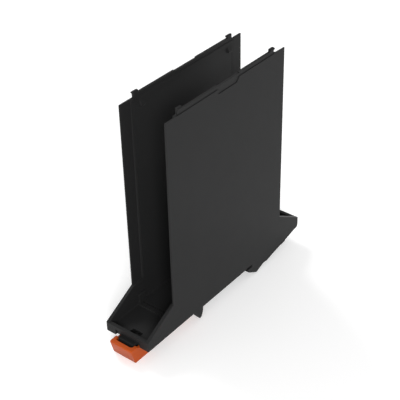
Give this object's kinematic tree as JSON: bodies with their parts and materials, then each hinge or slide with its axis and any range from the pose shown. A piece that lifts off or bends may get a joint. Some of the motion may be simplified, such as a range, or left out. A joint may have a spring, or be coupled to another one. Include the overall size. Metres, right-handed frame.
{
  "type": "din rail enclosure",
  "caption": "Open-topped black plastic enclosure base that snaps onto a 35 mm top-hat rail, with tall side walls, low end wings and an orange sliding rail latch.",
  "frame": {"origin": "middle of the rail seat, on the face that the top-hat rail touches", "axes": "+X across the rail towards the fixed hook, +Y along the rail, +Z away from the rail towards the open top"},
  "size_m": [0.1106, 0.0228, 0.1083],
  "materials": {
    "black_plastic": "matte",
    "orange_plastic": "satin"
  },
  "bodies": {
    "housing": {"housing": "black_plastic"},
    "latch": {"latch": "orange_plastic"}
  },
  "joints": [
    {"name": "latch_slide", "type": "slide", "parent": "housing", "child": "latch", "axis": [-1, 0, 0], "range_m": [0, 0.004], "stiffness_N_per_m": 3500, "springref_m": -0.001}
  ]
}
